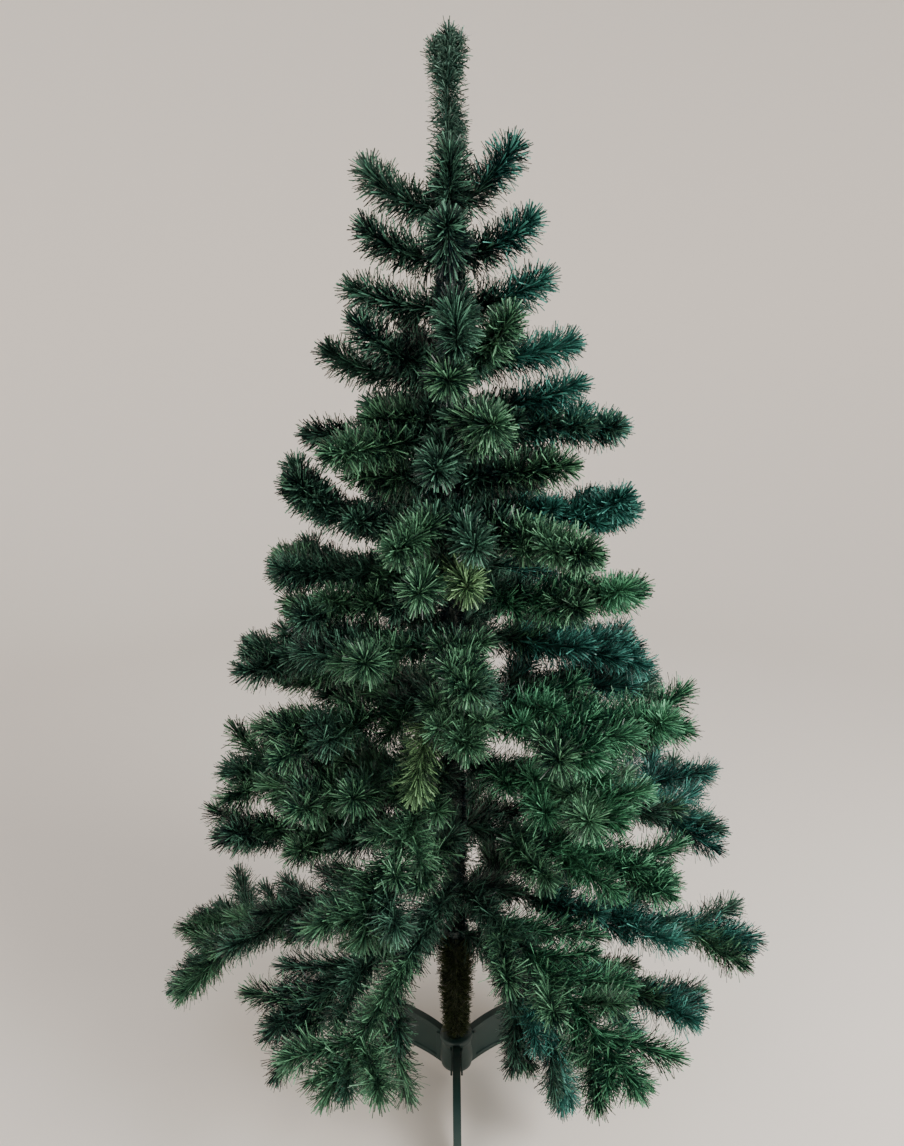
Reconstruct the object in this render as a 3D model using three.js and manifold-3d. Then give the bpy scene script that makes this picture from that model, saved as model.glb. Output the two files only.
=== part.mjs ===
import * as THREE from "three";
import { mergeVertices } from "three/addons/utils/BufferGeometryUtils.js";
import Module from "manifold-3d";

// An undecorated artificial christmas tree, 1.8 m tall, on a three-legged plastic stand.
// Millimetres, +Z up the pole. The origin is on the floor under the pole. The front is -Y
// and the right is +X. A heading is 0 towards the front and 90 to the right.

// Overall sizes
const TREE_HEIGHT = 1800;
const GAP = 0.3; // between pieces that touch

// Pole: three steel tubes pushed into each other
const POLE_FOOT = 34;
const POLE_TOP = 1600;
const POLE_JOINTS = [590, 1060]; // where a thinner tube goes on
const POLE_RADII = [14, 12.5, 11];
const POLE_TAPER = 8; // height of the crimp at a joint
const POLE_SIDES = 12;

// Stand: a hub with a socket, and three arched legs in its slots
const HUB_RADIUS = 30.5;
const HUB_FOOT = 22;
const HUB_TOP = 92;
const HUB_LIP = 3; // rounding of the hub's top and bottom edge
const SOCKET_FLOOR = 32;
const SLOT_DEPTH = 8;
const SLOT_WIDTH = 9.6;
const SLOT_TOP = 86;
const LEG_THICKNESS = 14;
const LEG_REACH = 254;
const LEG_FOOT = 12; // lower edge of a leg at the hub
const LEG_CREST = 102; // highest point of a leg's upper edge
const CREST_BACK = 134; // from the tip of the leg in to its crest
const CREST_SHOULDER = 70;
const CREST_BEND = 62; // where the upper edge begins to fall towards the hub
const LEG_ARCH = 38; // pull of the curve under a leg
const ARCH_BEND = 110;
const TOE_LENGTH = 32;
const TOE_HEIGHT = 7;
const TOE_RISE = 8; // the lower edge comes down to the toe from this height
const TOE_RUN = 24; // over this length
const TOE_CURVE = [14, 52]; // pull of the upper edge above the toe, inwards and upwards
const TONGUE_FOOT = 14;
const LEG_HEADINGS = { front: 0, right: 120, left: -120 };

// Needle sleeve: the wrap round the pole between the hub and the lowest branches
const SLEEVE_FOOT = 96;
const SLEEVE_TOP = 296;
const SLEEVE_TEETH = 7;
const SLEEVE_SIDES = 10;
const SLEEVE_CORE = 17;
const SLEEVE_REACH = [18, 29]; // at its foot and at its top
const SLEEVE_CREST = 0.7; // how far up its tier a row of teeth stands out

// Brushes: wires with needles twisted in
const NEEDLE_REACH = 33; // from the wire to the needle points
const NEEDLE_SWEEP = 0.4; // how far needles lean towards the tip, as a share of their reach
const WHORL_STEP = 37; // between the rings of teeth on a side tip
const STEM_STEP = 52; // and on a stem
const ROOT_RADIUS = 2.6; // of a stem at the pole
const CORE_RADIUS = 5.2; // of a stem where its needles begin
const TIP_RADIUS = 3.0; // of any core at its tip
const SIDE_RADIUS = 3.8; // of a side tip at its root
const TIP_NEEDLES = 16; // how far needles run on past the end of the wire
const BARE_LENGTH = 50; // of a stem beside the pole
const CLEARANCE = 15; // a side tip that comes nearer to another branch is left out
const SPACE_MARGIN = 2.5; // a tooth stays this far inside its own branch's space
const TOOTH_SHARES = [1, 0.75, 0.5]; // of its reach, tried in turn where there is little room
const COLLAR_HEIGHT = 9; // of the ring that holds a whorl of the top section
const COLLAR_WALL = 4;

// How branches differ from each other, as ranges of degrees or shares
const SIDE_SPREAD = [38, 52]; // of a side tip from its stem
const SIDE_LIFT = [-14, 18]; // of a side tip above its stem
const SIDE_LENGTH = [0.9, 1.1];
const SIDE_CURL = [5, 25]; // upward bend of a side tip
const SIDE_TURN = [0, 15]; // of a side tip back towards its stem
const FIRST_PAIR = 0.78; // place of the outer pair of side tips along the stem
const PAIR_STEP = 0.26; // from there to the next pair in
const PAIR_GROWTH = 0.15; // how much longer that pair is

// Tiers, from the top down. The top section's eight are whorls wound on one collar each. Below
// them every branch hooks on by itself. Each branch has its heading, its length, its rise at the
// pole and at its tip, its number of pairs of side tips and how far it bends sideways.
const TOP_SECTION_TIERS = 8;
const TIERS = [
  { height: 1555, sideTip: 0, branches: [
    [95, 115, 39, 51, 0, -11], [5, 75, 60, 80, 0, -9], [-98, 131, 3, 53, 0, -11],
    [180, 110, 5, 35, 0, 7]]},
  { height: 1487, sideTip: 0, branches: [
    [80, 122, 5, 45, 0, -5], [-2, 115, 12, 27, 0, 3], [-80, 122, -2, 43, 0, -1],
    [175, 130, 0, 35, 0, 8]]},
  { height: 1413, sideTip: 0, branches: [
    [85, 138, 5, 33, 0], [8, 141, 4, -46, 0, -10], [-88, 138, 4, 22, 0, -5],
    [180, 140, 0, 35, 0, -6]]},
  { height: 1331, sideTip: 0, branches: [
    [45, 136, 9, 59, 0, 2], [-60, 155, 1, 51, 0, -11], [-150, 158, 4, 29, 0, -11],
    [140, 158, 4, 39, 0, 2], [98, 186, 5, 13, 0, 8], [-95, 180, -20, 35, 0, 10],
    [-5, 150, -4, -4, 0, 9], [185, 189, -5, 20, 0, -10]]},
  { height: 1256, sideTip: 0, branches: [
    [92, 190, 5, 22, 0, -4], [12, 190, 0, 5, 0, 12], [-60, 121, -5, 5, 0, -11],
    [-130, 155, -3, 5, 0, 4], [-168, 185, 0, 15, 0, 5]]},
  { height: 1225, sideTip: 0, branches: [
    [92, 253, 6, -4, 0, 4], [28, 150, 5, 10, 0, -6], [-4, 165, -5, -15, 0, -7],
    [-50, 211, -4, 1, 0, 1], [-92, 210, -5, 5, 0, -8], [-160, 225, 0, 10, 0, 7],
    [135, 235, 0, 2, 0, 1]]},
  { height: 1155, sideTip: 0, branches: [
    [66, 181, 10, 10, 0, 5], [-72, 147, 4, 10, 0, -6], [-135, 215, 0, 5, 0, 5],
    [135, 215, 0, 5, 0, -5], [180, 225, 0, 8, 0, 6]]},
  { height: 1101, sideTip: 70, branches: [
    [88, 270, -3, 5, 1, -4], [52, 255, -9, -1, 0, -8], [14, 150, -5, -10, 0, -2],
    [-20, 190, 0, -10, 0, -9], [-72, 261, -20, 50, 1, -6], [-145, 200, 0, 6, 0, 10],
    [142, 240, -1, 6, 0, 3], [180, 255, 0, 8, 0, 10]]},
  { height: 1015, sideTip: 75, branches: [
    [6, 162, 14, -6, 0, 4], [-84, 262, -3, 1, 1], [-20, 215, 5, 5, 0, 17],
    [115, 180, -11, -16, 0, 5], [-160, 280, 0, 5, 1, 7]]},
  { height: 980, sideTip: 80, branches: [
    [62, 285, -4, 9, 2, 16], [-64, 244, -6, -1, 1, -10], [165, 285, 0, 5, 1, 1],
    [-114, 290, 0, 5, 1, 5]]},
  { height: 890, sideTip: 95, branches: [
    [-82, 318, -8, 3, 3, -1], [8, 250, 6, 0, 0, -7], [-45, 220, 5, 5, 1, 2],
    [106, 335, -8, -14, 3, 4], [-150, 340, 0, 5, 2, -11], [165, 330, 0, 5, 2]]},
  { height: 790, sideTip: 100, branches: [
    [66, 371, -5, 3, 3, 6], [40, 306, -2, 4, 1, -3], [4, 250, 12, 2, 0],
    [-22, 209, 7, -60, 0, 10], [-62, 291, -9, 4, 2, -9], [-118, 372, -5, 0, 3, -5],
    [118, 392, -9, -4, 3, -7]]},
  { height: 660, sideTip: 105, branches: [
    [98, 478, -18, -18, 3, -11], [50, 330, 13, -5, 2, -11], [-24, 379, -3, -22, 1, 9],
    [-54, 290, 2, 7, 2, -6], [-86, 366, -2, 7, 3, 11], [-165, 400, 0, 0, 3, -4]]},
  { height: 540, sideTip: 110, branches: [
    [68, 362, -2, -8, 3, 3], [-10, 230, 15, 5, 0, -8], [-80, 383, 4, 9, 3, 12],
    [-135, 420, 0, -3, 3, 8], [115, 551, -4, -7, 3, 7]]},
  { height: 420, sideTip: 115, branches: [
    [88, 519, -13, -5, 3, -10], [37, 454, -3, -18, 3, -6], [62, 330, -30, -85, 0, -69],
    [-22, 423, -3, -20, 1, -8], [-48, 379, -23, -23, 2, -20], [-92, 551, 0, -45, 3, 6],
    [180, 385, 0, -5, 3, 9]]},
  { height: 320, sideTip: 115, branches: [
    [80, 434, -24, -2, 2, -4], [55, 360, 3, -90, 0, -20], [-75, 330, 5, -78, 0, 136],
    [-102, 520, -5, -13, 2, -11], [152, 375, 3, -9, 2, 4]]},
];

// Leader: the brush that stands on the pole's top, with tips folded up and down against it
const LEADER_REACH = 25;
const FOLD_REACH = 17.5;
const LEADER_STEP = 28;
const LEADER_ROOT = 8;
const LEADER_FOLDS = [ // height, heading, length, rise at its root and at its end
  [1719, 83, 62, 62, 84], [1711, -94, 66, 60, 86], [1736, 7, 52, 60, 86],
  [1727, 171, 52, 60, 86], [1702, 107, 48, -50, -84], [1670, 78, 42, -45, -84]];

// Colours
const NEEDLE_GREENS = ["#1d4a33", "#24563a", "#1f5a45"];
const LEADER_GREEN = "#2a5a40";
const SLEEVE_GREEN = "#3c4a2c";
const POLE_GREEN = "#1b2a24";
const STAND_GREEN = "#1f3533";
const NEEDLE_ROUGHNESS = 0.7;
const POLE_ROUGHNESS = 0.5;
const STAND_ROUGHNESS = 0.55;

// The same seed gives the same tree every time
const SEED = 1447083368;
const RANDOM_FACTOR = 48271;
const RANDOM_LIMIT = 2147483647;

const wasm = await Module();
wasm.setup();

let randomState = SEED;

function random([low, high]) {
  randomState = (randomState * RANDOM_FACTOR) % RANDOM_LIMIT;
  return low + ((high - low) * randomState) / RANDOM_LIMIT;
}

const radians = THREE.MathUtils.degToRad;

function direction(heading, rise) {
  const level = Math.cos(radians(rise));
  return new THREE.Vector3(
    level * Math.sin(radians(heading)),
    -level * Math.cos(radians(heading)),
    Math.sin(radians(rise)),
  );
}

function toSolid(geometry) {
  const bare = geometry.clone();
  bare.deleteAttribute("normal");
  bare.deleteAttribute("uv");
  const merged = mergeVertices(bare, 1e-4);
  return new wasm.Manifold(new wasm.Mesh({
    numProp: 3,
    vertProperties: new Float32Array(merged.attributes.position.array),
    triVerts: new Uint32Array(merged.index.array),
  }));
}

// Of the shells that fusing leaves, the outer one is the largest. A hollow that fusing has
// sealed is filled by keeping that shell alone, and its shortest edges are closed up.
const SHORTEST_EDGE = 0.05;

function outerShell(solid) {
  const largest = solid.decompose().reduce((a, b) => (a.volume() > b.volume() ? a : b));
  return largest.simplify(SHORTEST_EDGE);
}

function toGeometry(solid) {
  const mesh = outerShell(solid).getMesh();
  const geometry = new THREE.BufferGeometry();
  geometry.setAttribute("position", new THREE.BufferAttribute(mesh.vertProperties, 3));
  geometry.setIndex(new THREE.BufferAttribute(mesh.triVerts, 1));
  geometry.computeVertexNormals();
  return geometry;
}

const tree = new THREE.Group();

function addPiece(name, geometry, color, roughness) {
  const material = new THREE.MeshStandardMaterial({ color, roughness, metalness: 0 });
  const piece = new THREE.Mesh(geometry, material);
  piece.name = name;
  tree.add(piece);
}

// A wire is a row of points. Its rise goes evenly from one angle to the other.
const STEM_POINTS = 10;
const SIDE_POINTS = 4;

function layWire(start, heading, riseStart, riseEnd, length, turn, count) {
  const points = [start.clone()];
  for (let i = 0; i < count; i += 1) {
    const share = (i + 0.5) / count;
    const rise = riseStart + (riseEnd - riseStart) * share;
    const step = direction(heading + turn * share, rise).multiplyScalar(length / count);
    points.push(points[i].clone().add(step));
  }
  return points;
}

function pointAt(wire, share) {
  const place = share * (wire.length - 1);
  const first = Math.min(Math.floor(place), wire.length - 2);
  return wire[first].clone().lerp(wire[first + 1], place - first);
}

function directionAt(wire, share) {
  const place = Math.min(Math.floor(share * (wire.length - 1)), wire.length - 2);
  return wire[place + 1].clone().sub(wire[place]).normalize();
}

function wireLength(wire) {
  return wire[0].distanceTo(wire[1]) * (wire.length - 1);
}

function distanceToWire(point, wire) {
  let nearest = Infinity;
  const foot = new THREE.Vector3();
  for (let i = 0; i + 1 < wire.length; i += 1) {
    new THREE.Line3(wire[i], wire[i + 1]).closestPointToPoint(point, true, foot);
    nearest = Math.min(nearest, foot.distanceTo(point));
  }
  return nearest;
}

function poleRadius(height) {
  const section = POLE_JOINTS.filter((joint) => height > joint).length;
  return POLE_RADII[section];
}

// Stems first, so that every side tip knows all the limbs it has to stay clear of
function layStems() {
  const branches = [];
  TIERS.forEach((tier, t) => {
    tier.branches.forEach(([heading, length, riseStart, riseEnd, pairs, turn = 0], b) => {
      const tilt = ROOT_RADIUS * Math.abs(Math.sin(radians(riseStart)));
      const root = direction(heading, 0).multiplyScalar(poleRadius(tier.height) + GAP + tilt);
      root.z = tier.height;
      const stem = layWire(root, heading, riseStart, riseEnd, length, turn, STEM_POINTS);
      const letter = String.fromCharCode("a".charCodeAt(0) + b);
      branches.push({
        tier: t, letter, stem, heading, turn, riseStart, riseEnd, pairs,
        sideTip: tier.sideTip, sides: [],
      });
    });
  });
  return branches;
}

function laySideTips(branches) {
  for (const branch of branches) {
    for (let k = 0; k < branch.pairs; k += 1) {
      const share = FIRST_PAIR - PAIR_STEP * k;
      const foot = pointAt(branch.stem, share);
      const rise = branch.riseStart + (branch.riseEnd - branch.riseStart) * share;
      for (const side of [-1, 1]) {
        const heading = branch.heading + branch.turn * share + side * random(SIDE_SPREAD);
        const lift = rise + random(SIDE_LIFT);
        const length = branch.sideTip * (1 + PAIR_GROWTH * k) * random(SIDE_LENGTH);
        const curl = random(SIDE_CURL);
        const turn = -side * random(SIDE_TURN);
        const wire = layWire(foot, heading, lift, lift + curl, length, turn, SIDE_POINTS);
        const others = branches.filter((other) => other !== branch);
        const free = wire.every((point) => others.every((other) => (
          [other.stem, ...other.sides].every((limb) => (
            distanceToWire(point, limb) > CLEARANCE)))));
        if (free) branch.sides.push(wire);
      }
    }
  }
}

// A brush is a square core bent along its wire. At every second corner the needles stand out
// as a tooth, so that four toothed blades run along it, and its last needles end in a point.
const NEARLY_UPRIGHT = 0.9;
const UP = new THREE.Vector3(0, 0, 1);
const BACKWARDS = new THREE.Vector3(0, 1, 0);

function brush(wire, rootRadius, coreRadius, stations, reachOf) {
  const rings = stations.length - 1;
  const geometry = new THREE.CylinderGeometry(1, 1, 1, 4, rings);
  const position = geometry.attributes.position;
  const total = wireLength(wire);
  const overall = wire[wire.length - 1].clone().sub(wire[0]).normalize();
  const guide = Math.abs(overall.z) > NEARLY_UPRIGHT ? BACKWARDS : UP;
  for (let i = 0; i < position.count; i += 1) {
    const ring = Math.round((position.getY(i) + 0.5) * rings);
    const share = Math.min(stations[ring] / total, 1);
    const centre = pointAt(wire, share);
    const along = directionAt(wire, share);
    const across = along.clone().cross(guide).normalize();
    const up = across.clone().cross(along);
    const radial = Math.hypot(position.getX(i), position.getZ(i));
    if (radial < 0.5) {
      if (ring === rings) centre.addScaledVector(along, TIP_NEEDLES);
      position.setXYZ(i, centre.x, centre.y, centre.z);
      continue;
    }
    const corner = Math.round(Math.atan2(position.getX(i), position.getZ(i)) / (Math.PI / 2));
    const angle = corner * (Math.PI / 2) + Math.PI / 4;
    const outward = up.clone().multiplyScalar(Math.cos(angle)).addScaledVector(across, Math.sin(angle));
    const core = ring === 0 ? rootRadius : THREE.MathUtils.lerp(coreRadius, TIP_RADIUS, share);
    const toothed = ring > 0 && (ring + corner + 4) % 2 === 0;
    const reach = toothed ? reachOf(centre, outward, along, core) : core;
    centre.addScaledVector(outward, reach);
    if (reach > core) centre.addScaledVector(along, reach * NEEDLE_SWEEP);
    position.setXYZ(i, centre.x, centre.y, centre.z);
  }
  return toSolid(geometry);
}

function stationsAlong(length, bare, step) {
  const count = Math.max(1, Math.round((length - bare) / step));
  const stations = bare > 0 ? [0, bare] : [0];
  for (let i = 1; i <= count; i += 1) stations.push(bare + ((length - bare) * i) / count);
  return stations;
}

// A tooth keeps to its own branch's space: its point lies nearer to its own wires than to any
// other branch's and clear of the pole. It is shortened in steps, and left out if none will do.
function toothReach(own, others) {
  return (centre, outward, along, core) => {
    for (const share of TOOTH_SHARES) {
      const reach = NEEDLE_REACH * share;
      const point = centre.clone().addScaledVector(outward, reach);
      point.addScaledVector(along, reach * NEEDLE_SWEEP);
      const fromOwn = Math.min(...own.map((wire) => distanceToWire(point, wire)));
      const fromPole = Math.hypot(point.x, point.y) - poleRadius(point.z);
      const free = others.every((wire) => distanceToWire(point, wire) > fromOwn + SPACE_MARGIN * 2);
      if (free && fromPole > SPACE_MARGIN) return reach;
    }
    return core;
  };
}

function branchSolid(branch, branches, group) {
  const own = [branch.stem, ...branch.sides];
  const others = branches.filter((other) => !group.includes(other))
    .flatMap((other) => [other.stem, ...other.sides]);
  const reachOf = toothReach(own, others);
  const stemStations = stationsAlong(wireLength(branch.stem), BARE_LENGTH, STEM_STEP);
  let solid = brush(branch.stem, ROOT_RADIUS, CORE_RADIUS, stemStations, reachOf);
  for (const wire of branch.sides) {
    const stations = stationsAlong(wireLength(wire), 0, WHORL_STEP);
    solid = solid.add(brush(wire, SIDE_RADIUS, SIDE_RADIUS, stations, reachOf));
  }
  return solid;
}

function collarSolid(height) {
  const sides = 8;
  const inner = (poleRadius(height) + GAP) / Math.cos(Math.PI / sides);
  const outer = inner + COLLAR_WALL;
  const profile = [
    new THREE.Vector2(inner, -COLLAR_HEIGHT / 2), new THREE.Vector2(outer, -COLLAR_HEIGHT / 2),
    new THREE.Vector2(outer, COLLAR_HEIGHT / 2), new THREE.Vector2(inner, COLLAR_HEIGHT / 2),
    new THREE.Vector2(inner, -COLLAR_HEIGHT / 2)];
  const ring = new THREE.LatheGeometry(profile, sides);
  ring.rotateX(Math.PI / 2);
  ring.translate(0, 0, height);
  return toSolid(ring);
}

const branches = layStems();
laySideTips(branches);

TIERS.forEach((tier, t) => {
  const group = branches.filter((branch) => branch.tier === t);
  const number = String(t + 1).padStart(2, "0");
  if (t < TOP_SECTION_TIERS) {
    let whorl = collarSolid(tier.height);
    for (const branch of group) whorl = whorl.add(branchSolid(branch, branches, group));
    const color = NEEDLE_GREENS[t % NEEDLE_GREENS.length];
    addPiece(`whorl_${number}`, toGeometry(whorl), color, NEEDLE_ROUGHNESS);
    return;
  }
  group.forEach((branch, b) => {
    const color = NEEDLE_GREENS[(t + b) % NEEDLE_GREENS.length];
    const geometry = toGeometry(branchSolid(branch, branches, [branch]));
    addPiece(`branch_${number}_${branch.letter}`, geometry, color, NEEDLE_ROUGHNESS);
  });
});

// Leader
function leaderSolid() {
  const foot = new THREE.Vector3(0, 0, POLE_TOP + GAP);
  const length = TREE_HEIGHT - TIP_NEEDLES - foot.z;
  const wire = layWire(foot, 0, 90, 90, length, 0, STEM_POINTS);
  const reachOf = () => LEADER_REACH;
  const stations = stationsAlong(length, 0, LEADER_STEP);
  let solid = brush(wire, LEADER_ROOT, CORE_RADIUS, stations, reachOf);
  for (const [height, heading, foldLength, riseStart, riseEnd] of LEADER_FOLDS) {
    const root = new THREE.Vector3(0, 0, height);
    const fold = layWire(root, heading, riseStart, riseEnd, foldLength, 0, SIDE_POINTS);
    const steps = stationsAlong(foldLength, 0, WHORL_STEP);
    solid = solid.add(brush(fold, SIDE_RADIUS, SIDE_RADIUS, steps, () => FOLD_REACH));
  }
  return solid;
}
addPiece("leader", toGeometry(leaderSolid()), LEADER_GREEN, NEEDLE_ROUGHNESS);

// Pole
function poleProfile() {
  const points = [new THREE.Vector2(0, POLE_FOOT), new THREE.Vector2(POLE_RADII[0], POLE_FOOT)];
  POLE_JOINTS.forEach((joint, i) => {
    points.push(new THREE.Vector2(POLE_RADII[i], joint));
    points.push(new THREE.Vector2(POLE_RADII[i + 1], joint + POLE_TAPER));
  });
  points.push(new THREE.Vector2(POLE_RADII[2], POLE_TOP), new THREE.Vector2(0, POLE_TOP));
  return points;
}
const pole = new THREE.LatheGeometry(poleProfile(), POLE_SIDES);
pole.rotateX(Math.PI / 2);
addPiece("pole", toGeometry(toSolid(pole)), POLE_GREEN, POLE_ROUGHNESS);

// Needle sleeve
function sleeveProfile() {
  const inner = (POLE_RADII[0] + GAP) / Math.cos(Math.PI / SLEEVE_SIDES);
  const points = [new THREE.Vector2(inner, SLEEVE_FOOT)];
  const step = (SLEEVE_TOP - SLEEVE_FOOT) / SLEEVE_TEETH;
  for (let i = 0; i < SLEEVE_TEETH; i += 1) {
    const share = (i + 1) / SLEEVE_TEETH;
    const reach = THREE.MathUtils.lerp(SLEEVE_REACH[0], SLEEVE_REACH[1], share);
    points.push(new THREE.Vector2(SLEEVE_CORE, SLEEVE_FOOT + step * i));
    points.push(new THREE.Vector2(reach, SLEEVE_FOOT + step * (i + SLEEVE_CREST)));
  }
  points.push(new THREE.Vector2(SLEEVE_CORE, SLEEVE_TOP));
  points.push(new THREE.Vector2(inner, SLEEVE_TOP), points[0]);
  return points;
}
const sleeve = new THREE.LatheGeometry(sleeveProfile(), SLEEVE_SIDES);
sleeve.rotateX(Math.PI / 2);
addPiece("pole_needle_sleeve", toGeometry(toSolid(sleeve)), SLEEVE_GREEN, NEEDLE_ROUGHNESS);

// Stand hub: a moulded cup with the pole's socket and a slot for each leg, open below
function hubSolid() {
  const sides = 24;
  const profile = [
    new THREE.Vector2(0, HUB_FOOT), new THREE.Vector2(HUB_RADIUS - HUB_LIP, HUB_FOOT),
    new THREE.Vector2(HUB_RADIUS, HUB_FOOT + HUB_LIP), new THREE.Vector2(HUB_RADIUS, HUB_TOP - HUB_LIP),
    new THREE.Vector2(HUB_RADIUS - HUB_LIP, HUB_TOP), new THREE.Vector2(0, HUB_TOP)];
  const body = new THREE.LatheGeometry(profile, sides);
  body.rotateX(Math.PI / 2);
  const socketRadius = (POLE_RADII[0] + GAP) / Math.cos(Math.PI / sides);
  const socketDepth = HUB_TOP - SOCKET_FLOOR + 1;
  const socket = new THREE.CylinderGeometry(socketRadius, socketRadius, socketDepth, sides);
  socket.rotateX(Math.PI / 2);
  socket.translate(0, 0, SOCKET_FLOOR + socketDepth / 2);
  let solid = toSolid(body).subtract(toSolid(socket));
  for (const heading of Object.values(LEG_HEADINGS)) {
    const slot = new THREE.BoxGeometry(SLOT_WIDTH, SLOT_DEPTH * 2, SLOT_TOP);
    slot.translate(0, -HUB_RADIUS, SLOT_TOP / 2);
    slot.rotateZ(radians(heading));
    solid = solid.subtract(toSolid(slot));
  }
  return solid;
}
addPiece("stand_hub", toGeometry(hubSolid()), STAND_GREEN, STAND_ROUGHNESS);

// Stand leg: an arched fin with a flat toe, and a tongue that fills the hub's slot
function legSolid(heading) {
  const inner = HUB_RADIUS + GAP;
  const fin = new THREE.Shape();
  fin.moveTo(inner, LEG_FOOT);
  fin.quadraticCurveTo(ARCH_BEND, LEG_ARCH, LEG_REACH - TOE_LENGTH - TOE_RUN, TOE_RISE);
  fin.lineTo(LEG_REACH - TOE_LENGTH, 0);
  fin.lineTo(LEG_REACH, 0);
  fin.lineTo(LEG_REACH, TOE_HEIGHT);
  fin.bezierCurveTo(
    LEG_REACH - TOE_CURVE[0], TOE_CURVE[1],
    LEG_REACH - CREST_SHOULDER, LEG_CREST,
    LEG_REACH - CREST_BACK, LEG_CREST,
  );
  fin.quadraticCurveTo(CREST_BEND, LEG_CREST, inner, SLOT_TOP);
  fin.closePath();
  const plate = new THREE.ExtrudeGeometry(fin, {
    depth: LEG_THICKNESS, bevelEnabled: false, curveSegments: 7,
  });
  plate.translate(0, 0, -LEG_THICKNESS / 2);
  plate.rotateX(Math.PI / 2);
  plate.rotateZ(-Math.PI / 2);
  const tongueWidth = SLOT_WIDTH - GAP * 2;
  const tongueReach = SLOT_DEPTH + 1;
  const tongueHeight = SLOT_TOP - GAP - TONGUE_FOOT;
  const tongueBack = HUB_RADIUS - SLOT_DEPTH + GAP;
  const tongue = new THREE.BoxGeometry(tongueWidth, tongueReach, tongueHeight);
  tongue.translate(0, -tongueBack - tongueReach / 2, TONGUE_FOOT + tongueHeight / 2);
  return toSolid(plate).add(toSolid(tongue)).rotate([0, 0, heading]);
}
for (const [side, heading] of Object.entries(LEG_HEADINGS)) {
  addPiece(`stand_leg_${side}`, toGeometry(legSolid(heading)), STAND_GREEN, STAND_ROUGHNESS);
}

export default tree;
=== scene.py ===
import math

import bmesh
import bpy
import numpy as np
from mathutils import Matrix, Vector


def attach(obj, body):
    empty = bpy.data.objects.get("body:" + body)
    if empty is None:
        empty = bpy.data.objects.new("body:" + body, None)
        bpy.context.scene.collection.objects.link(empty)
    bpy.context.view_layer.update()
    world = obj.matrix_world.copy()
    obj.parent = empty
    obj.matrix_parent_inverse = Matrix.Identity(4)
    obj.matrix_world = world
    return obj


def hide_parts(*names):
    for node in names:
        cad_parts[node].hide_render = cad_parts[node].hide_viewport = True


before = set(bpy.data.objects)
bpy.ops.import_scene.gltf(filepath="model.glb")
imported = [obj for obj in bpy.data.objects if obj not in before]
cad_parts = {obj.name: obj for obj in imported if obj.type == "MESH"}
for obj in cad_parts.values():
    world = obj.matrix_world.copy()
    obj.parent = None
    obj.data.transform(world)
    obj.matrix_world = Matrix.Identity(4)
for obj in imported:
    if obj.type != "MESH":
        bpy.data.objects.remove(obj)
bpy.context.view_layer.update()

# Legs of the stand
# Each of the three is a moulded plastic fin with an arched lower edge, a thick rim and a thinner
# web. Its outline of curves is given its thickness, sunk in on both sides and rounded. Its root
# goes into the hub and its toe rests flat on the floor.
LEG_HEADINGS = {"front": 0.0, "right": 120.0, "left": -120.0}
LEG_THICKNESS = 0.014
LEG_REACH = 0.254
LEG_ROOT = 0.024  # distance of its root from the pole's axis
LEG_FOOT = 0.012  # lower edge at the root
LEG_TOP = 0.084  # upper edge at the root
LEG_CREST = 0.102  # highest point of the upper edge
CREST_BACK = 0.134  # from the tip of the leg in to its crest
CREST_SHOULDER = 0.070
CREST_BEND = 0.062
ARCH_BEND = (0.110, 0.038)  # pull of the curve under the leg
TOE_LENGTH = 0.032
TOE_HEIGHT = 0.007
TOE_RUN = 0.024  # the lower edge comes down to the toe over this length
TOE_RISE = 0.008  # from this height
TOE_CURVE = (0.014, 0.052)  # pull of the upper edge above the toe
ARCH_STEPS = 14
BACK_STEPS = 16
SLOPE_STEPS = 8
RIM_WIDTH = 0.0075
WEB_SLOPE = 0.0015
WEB_DEPTH = 0.0032
LEG_ROUNDING = 0.0011
SHARP_EDGE = math.radians(35)


def curve(points, steps):
    """Points of a Bezier curve with three or four control points, its first point left out."""
    found = []
    order = len(points) - 1
    for i in range(1, steps + 1):
        t = i / steps
        spot = [0.0, 0.0]
        for k, point in enumerate(points):
            share = math.comb(order, k) * t ** k * (1 - t) ** (order - k)
            spot[0] += share * point[0]
            spot[1] += share * point[1]
        found.append(tuple(spot))
    return found


def object_from(bm, name):
    """Turns a bmesh into an object at the origin whose faces point out."""
    bmesh.ops.recalc_face_normals(bm, faces=bm.faces)
    mesh = bpy.data.meshes.new(name)
    bm.to_mesh(mesh)
    bm.free()
    made = bpy.data.objects.new(name, mesh)
    bpy.context.collection.objects.link(made)
    return made


def leg_outline():
    """Reach and height round a leg: the arch under it, the toe, the back and the slope inwards."""
    foot, top = (LEG_ROOT, LEG_FOOT), (LEG_ROOT, LEG_TOP)
    crest = (LEG_REACH - CREST_BACK, LEG_CREST)
    toe_start, toe_top = LEG_REACH - TOE_LENGTH, (LEG_REACH, TOE_HEIGHT)
    points = [foot] + curve([foot, ARCH_BEND, (toe_start - TOE_RUN, TOE_RISE)], ARCH_STEPS)
    points += [(toe_start, 0.0), (LEG_REACH, 0.0), toe_top]
    points += curve([toe_top, (LEG_REACH - TOE_CURVE[0], TOE_CURVE[1]),
                     (LEG_REACH - CREST_SHOULDER, LEG_CREST), crest], BACK_STEPS)
    points += curve([crest, (CREST_BEND, LEG_CREST), top], SLOPE_STEPS)
    return points


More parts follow.
